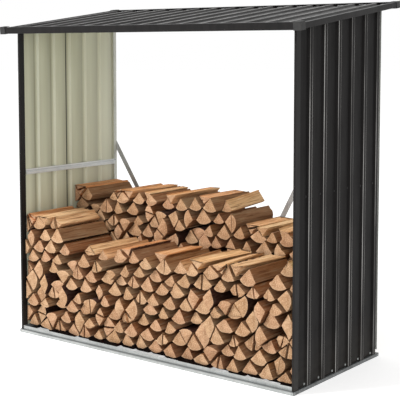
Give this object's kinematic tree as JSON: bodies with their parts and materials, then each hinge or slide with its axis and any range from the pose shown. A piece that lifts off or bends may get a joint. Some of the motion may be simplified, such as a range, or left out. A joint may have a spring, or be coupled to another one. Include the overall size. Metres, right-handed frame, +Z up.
{
  "type": "log store",
  "caption": "Open-fronted log store: ribbed metal side walls, sloping ribbed roof, galvanised base frame and rear braces, with two stacks of split firewood inside.",
  "frame": {"origin": "on the ground, under the middle of the roof", "axes": "+X to the right along the width, +Y from the open front to the open back, +Z up"},
  "size_m": [1.634, 0.789, 1.5342],
  "materials": {
    "wall_sheet": "satin anthracite coating outside, pale sage coating inside",
    "roof_sheet": "satin anthracite coating",
    "anthracite_trim": "satin anthracite coating on folded steel",
    "galvanised_steel": "bright hot-dip galvanised, lightly streaked",
    "corner_cap": "moulded, fine matt texture",
    "split_firewood": "dry, rough-split and saw-cut, some bark"
  },
  "bodies": {
    "root": {"base_rail_front": "galvanised_steel", "base_rail_rear": "galvanised_steel", "base_rail_left": "galvanised_steel", "base_rail_right": "galvanised_steel", "front_left_post": "anthracite_trim", "front_right_post": "anthracite_trim", "rear_left_post": "galvanised_steel", "rear_right_post": "galvanised_steel", "left_wall_sheet_front": "wall_sheet", "left_wall_sheet_rear": "wall_sheet", "right_wall_sheet_front": "wall_sheet", "right_wall_sheet_rear": "wall_sheet", "left_mid_rail": "galvanised_steel", "right_mid_rail": "galvanised_steel", "front_top_rail": "galvanised_steel", "rear_top_rail": "galvanised_steel", "left_top_rail": "galvanised_steel", "right_top_rail": "galvanised_steel", "roof_sheet_1": "roof_sheet", "roof_sheet_2": "roof_sheet", "roof_sheet_3": "roof_sheet", "roof_sheet_4": "roof_sheet", "front_fascia": "anthracite_trim", "rear_fascia": "anthracite_trim", "left_verge_trim": "anthracite_trim", "right_verge_trim": "anthracite_trim", "front_left_cap": "corner_cap", "front_right_cap": "corner_cap", "rear_left_cap": "corner_cap", "rear_right_cap": "corner_cap", "left_rear_brace": "galvanised_steel", "right_rear_brace": "galvanised_steel", "front_stack_bottom_logs": "split_firewood", "front_stack_middle_logs": "split_firewood", "front_stack_top_logs": "split_firewood", "rear_stack_bottom_logs": "split_firewood", "rear_stack_middle_logs": "split_firewood", "rear_stack_upper_logs": "split_firewood", "rear_stack_top_logs": "split_firewood"}
  },
  "joints": []
}
